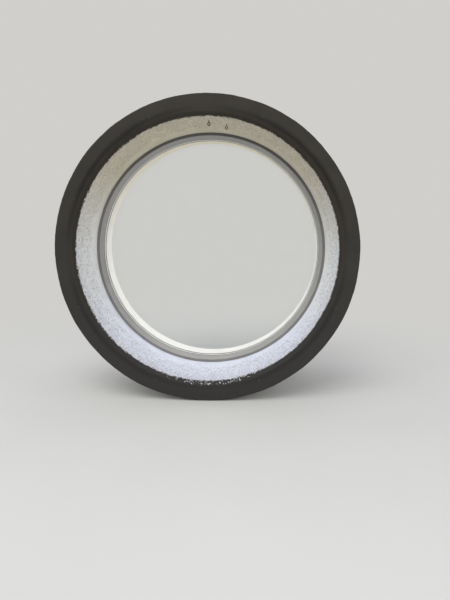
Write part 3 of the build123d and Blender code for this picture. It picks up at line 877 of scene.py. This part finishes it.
def clearGlass():
    p = pane
    f = Finish("clearGlass")
    f.tree.nodes.remove(f.shader)
    film = f.span(f.grain(p["dustSize"], detail=4.0, low=0.45, high=0.75), 0.0, 1.0, *p["dustShare"])
    clear = f.add("BsdfTransparent", {"Color": p["clear"]}).outputs[0]
    gloss = f.add("BsdfGlossy", {"Color": (1, 1, 1, 1), "Roughness": p["mirrorRoughness"]}).outputs[0]
    dust = f.add("BsdfDiffuse", {"Color": p["dust"]}).outputs[0]
    mirror = f.times(f.add("Fresnel", {"IOR": p["mirrorIor"]}).outputs[0], p["mirrorShare"])
    dusty = f.mixShader(film, f.mixShader(mirror, clear, gloss), dust)
    f.tree.links.new(dusty, f.output.inputs["Surface"])
    return f.material


# Beads in the spacer bar and foam round the frame: both look like small round cells
cellular = {
    "sieve_beads": {
        "name": "sieveBeads", "between": tone(150, 138, 118), "middle": tone(216, 204, 182),
        "size": 1.6 * mm, "reach": 0.6, "depth": 0.4 * mm, "roughness": (0.95, 0.80), "clouds": 0.0,
    },
    "foam": {
        "name": "cutFoam", "between": tone(226, 208, 150), "middle": tone(190, 166, 104),
        "size": 2.6 * mm, "reach": 0.55, "depth": -0.7 * mm, "roughness": (0.80, 0.92), "clouds": 0.06,
    },
}


def cellFinish(name, between, middle, size, reach, depth, roughness, clouds, cloudSize=30 * mm):
    f = Finish(name, Specular_IOR_Level=0.2)
    spots = f.spots(size, reach)
    colour = f.mix(spots, between, middle)
    if clouds:
        colour = f.vary(colour, f.grain(cloudSize), clouds)
    return f.finish(colour, f.span(spots, 0.0, 1.0, *roughness), f.bump(spots, depth))


# Moulded, cast and rolled plastics, by the record's slots: fleck is how much the colour varies
plastics = {
    "bond": {
        "name": "curedBond", "colour": tone(226, 223, 212), "roughness": 0.62,
        "fleck": 0.05, "grainSize": 4 * mm, "depth": 0.3 * mm,
    },
    "polyamide": {
        "name": "blackPolyamide", "colour": tone(38, 38, 39), "roughness": 0.55,
        "fleck": 0.12, "grainSize": 1 * mm, "depth": 0.03 * mm,
    },
    "black_rubber": {
        "name": "blackRubber", "colour": tone(30, 30, 31), "roughness": 0.66,
        "fleck": 0.12, "grainSize": 0.9 * mm, "depth": 0.04 * mm,
    },
    "block_plastic": {
        "name": "blockPlastic", "colour": tone(58, 98, 148), "roughness": 0.45,
        "fleck": 0.06, "grainSize": 1.4 * mm, "depth": 0.05 * mm,
    },
    "seal_tape": {
        "name": "sealTape", "colour": tone(66, 66, 68), "roughness": 0.88,
        "fleck": 0.10, "grainSize": 1.6 * mm, "depth": 0.5 * mm,
    },
    "nylon": {
        "name": "plugNylon", "colour": tone(196, 196, 188), "roughness": 0.5,
        "fleck": 0.04, "grainSize": 1.2 * mm, "depth": 0.03 * mm,
    },
}
spacerCoat = {
    "name": "coatedSpacer", "colour": tone(228, 228, 226), "roughness": 0.5,
    "fleck": 0.02, "grainSize": 1.4 * mm, "depth": 0.02 * mm,
}
metals = {
    "zinc_steel": {
        "name": "zincPlate", "colour": tone(196, 198, 196), "roughness": 0.34,
        "longSize": 4 * mm, "wideSize": 0.5 * mm,
    },
    "mill_aluminium": {
        "name": "millAluminium", "colour": tone(205, 207, 208), "roughness": 0.36,
        "longSize": 50 * mm, "wideSize": 0.6 * mm,
    },
}

# How uneven the plastics and metals are
uneven = {
    "smoother": 0.06,  # roughness runs from this much under its value
    "rougher": 0.08,  # to this much over
    "cloudSize": 30 * mm,
    "glossSize": 12 * mm,
    "grainShare": 0.6,  # of the fleck
    "drawnShare": 0.05,
    "drawnDepth": 0.01 * mm,
    "stainSize": 10 * mm,
    "stainShare": 0.06,
}


def unevenGloss(f, share, roughness):
    return f.span(share, 0.0, 1.0, roughness - uneven["smoother"], roughness + uneven["rougher"])


def plasticFinish(name, colour, roughness, fleck, grainSize, depth):
    f = Finish(name, Specular_IOR_Level=0.4)
    grain = f.grain(grainSize, detail=2.0)
    colour = f.vary(colour, f.grain(uneven["cloudSize"]), fleck)
    colour = f.vary(colour, grain, fleck * uneven["grainShare"])
    gloss = unevenGloss(f, f.grain(uneven["glossSize"], detail=2.0), roughness)
    return f.finish(colour, gloss, f.bump(grain, depth))


def metalFinish(name, colour, roughness, longSize, wideSize):
    f = Finish(name, Metallic=1.0)
    drawn = f.streaks(longSize, wideSize, sleeveSize["inner"])
    colour = f.vary(colour, drawn, uneven["drawnShare"])
    colour = f.vary(colour, f.grain(uneven["stainSize"], detail=4.0), uneven["stainShare"])
    return f.finish(colour, unevenGloss(f, drawn, roughness), f.bump(drawn, uneven["drawnDepth"]))


ownFinishes = {
    "coated_aluminium": powderCoat,
    "fibre_cement": fibreCement,
    "black_steel": blackWire,
    "clear_glass": clearGlass,
}


def slotFinish(slot):
    if slot in plastics:
        return plasticFinish(**plastics[slot])
    if slot in metals:
        return metalFinish(**metals[slot])
    if slot in cellular:
        return cellFinish(**cellular[slot])
    return ownFinishes[slot]()


# The solids that keep their own shape: a finish for each slot, apart from those that are painted over
def dressSolids():
    replaced = {"surround_ring", "surround_screw_fillers", "room_reveal_render", "outer_reveal_render"}
    beadPaint = powderCoat("beadPowderCoat", sloped=True)
    finishOf = {node: beadPaint for node in nodes if node.startswith("glazing_bead")}
    finishOf["outer_stop_bead"] = finishOf["outer_corner_bead"] = bpy.data.materials["smoothRender"]
    finishOf["room_stop_bead"] = bpy.data.materials["roughRender"]
    finishOf["spacer_bar"] = plasticFinish(**spacerCoat)
    made = {}
    for part in frame["record"]["subparts"]:
        node, slot = part["node"], part["material_slot"]
        if node in replaced:
            continue
        if node not in finishOf:
            if slot not in made:
                made[slot] = slotFinish(slot)
            finishOf[node] = made[slot]
        solid = nodes[node]
        solid.data.materials.clear()
        solid.data.materials.append(finishOf[node])
    print("solids dressed,", len(finishOf), "nodes")


# Stage: pale floor that fades into a pale background, soft lamps and a soft sky
stage = {
    "floorRadius": 16.0,
    "floorSides": 96,
    "fadeAt": (0.6, 2.6),  # from the window's foot
    "floorColour": tone(206, 205, 202),
    "floorPatch": 0.4,
    "floorShare": 0.01,
    "background": tone(208, 207, 204),
    "skyColour": (0.93, 0.965, 1.0, 1),
    "groundColour": (1.0, 0.95, 0.86, 1),
    "horizonAt": (-0.4, 0.4),  # upward part of a direction
    "skyStrength": 0.85,
}
lamps = {
    "keyLamp": {
        "at": (-1.2, -2.9, 3.9), "aim": (0, 0.1, -0.25), "size": 3.7, "power": 120,
        "colour": (1.0, 0.985, 0.96), "reflected": True, "onFloor": True,
    },
    "frontFill": {
        "at": (0.9, -2.6, 0.5), "aim": (0, 0, 0), "size": 2.0, "power": 11,
        "colour": (1.0, 0.98, 0.96), "reflected": False, "onFloor": True,
    },
    "backTop": {
        "at": (0.3, 1.9, 1.9), "aim": (0, 0.25, -0.3), "size": 2.4, "power": 35,
        "colour": (1.0, 0.98, 0.96), "reflected": True, "onFloor": False,
    },
    "backLow": {
        "at": (0.12, 1.7, -0.1), "aim": (0, 0.3, 0.35), "size": 1.2, "power": 12,
        "colour": (1.0, 0.96, 0.88), "reflected": False, "onFloor": False,
    },
}
camera = {"at": (0.120, -1.750, 0.076), "downTilt": 8.327, "leftTurn": 1.572, "lens": 27, "sensor": 36}


def makeFloor():
    mesh = bpy.data.meshes.new("floor")
    work = bmesh.new()
    bmesh.ops.create_circle(work, cap_ends=True, radius=stage["floorRadius"], segments=stage["floorSides"])
    work.to_mesh(mesh)
    work.free()
    floor = bpy.data.objects.new("floor", mesh)
    floor.location.z = -surroundSize["outer"]
    bpy.context.scene.collection.objects.link(floor)
    f = Finish("paleFloor", Specular_IOR_Level=0.15, Roughness=0.9)
    colour = f.vary(stage["floorColour"], f.grain(stage["floorPatch"]), stage["floorShare"])
    f.tree.links.new(colour, f.shader.inputs["Base Color"])
    glow = f.add("Emission", {"Color": stage["background"], "Strength": 1.0}).outputs[0]
    fade = f.span(f.length(f.place), *stage["fadeAt"], curve="SMOOTHSTEP")
    f.tree.links.new(f.mixShader(fade, f.shader.outputs[0], glow), f.output.inputs["Surface"])
    mesh.materials.append(f.material)
    return floor


# A soft sky that lights the window, and a plain background for what is seen, mirrored or seen through
def makeSky():
    world = bpy.data.worlds.new("softSky")
    bpy.context.scene.world = world
    world.use_nodes = True
    w = NodeWork(world.node_tree)
    upward = w.add("SeparateXYZ", {0: w.add("TexCoord").outputs["Generated"]}).outputs["Z"]
    colour = w.mix(w.span(upward, *stage["horizonAt"]), stage["groundColour"], stage["skyColour"])
    soft = w.add("Background", {"Color": colour, "Strength": stage["skyStrength"]}).outputs[0]
    plain = w.add("Background", {"Color": stage["background"]}).outputs[0]
    ray = w.add("LightPath").outputs
    seen = w.math("MAXIMUM", ray["Is Camera Ray"], ray["Is Glossy Ray"])
    seen = w.math("MAXIMUM", seen, ray["Is Transmission Ray"])
    w.add("OutputWorld", {"Surface": w.mixShader(seen, soft, plain)})


# The lamps behind the window light everything but the floor, so that the floor stays even
def makeLamps(floor):
    notFloor = bpy.data.collections.new("notFloor")
    notFloor.objects.link(floor)
    notFloor.collection_objects[0].light_linking.link_state = "EXCLUDE"
    for name, lamp in lamps.items():
        data = bpy.data.lights.new(name, "AREA")
        data.shape = "DISK"
        data.size = lamp["size"]
        data.energy = lamp["power"]
        data.color = lamp["colour"]
        light = bpy.data.objects.new(name, data)
        light.location = lamp["at"]
        aim = Vector(lamp["aim"]) - Vector(lamp["at"])
        light.rotation_euler = aim.to_track_quat("-Z", "Y").to_euler()
        light.visible_camera = False
        light.visible_transmission = False
        light.visible_glossy = lamp["reflected"]
        if not lamp["onFloor"]:
            light.light_linking.receiver_collection = notFloor
        bpy.context.scene.collection.objects.link(light)


def makeCamera():
    data = bpy.data.cameras.new("viewCamera")
    data.lens = camera["lens"]
    data.sensor_width = camera["sensor"]
    view = bpy.data.objects.new("viewCamera", data)
    view.location = camera["at"]
    view.rotation_euler = (math.radians(90 - camera["downTilt"]), 0, math.radians(camera["leftTurn"]))
    bpy.context.scene.collection.objects.link(view)
    bpy.context.scene.camera = view


makeCamera()
makeSky()
makeLamps(makeFloor())
bpy.context.scene.view_settings.view_transform = "Standard"
print("stage set")

makeSurround()
makeRoomReveal()
makeOuterReveal()
dressSolids()

print("finished")
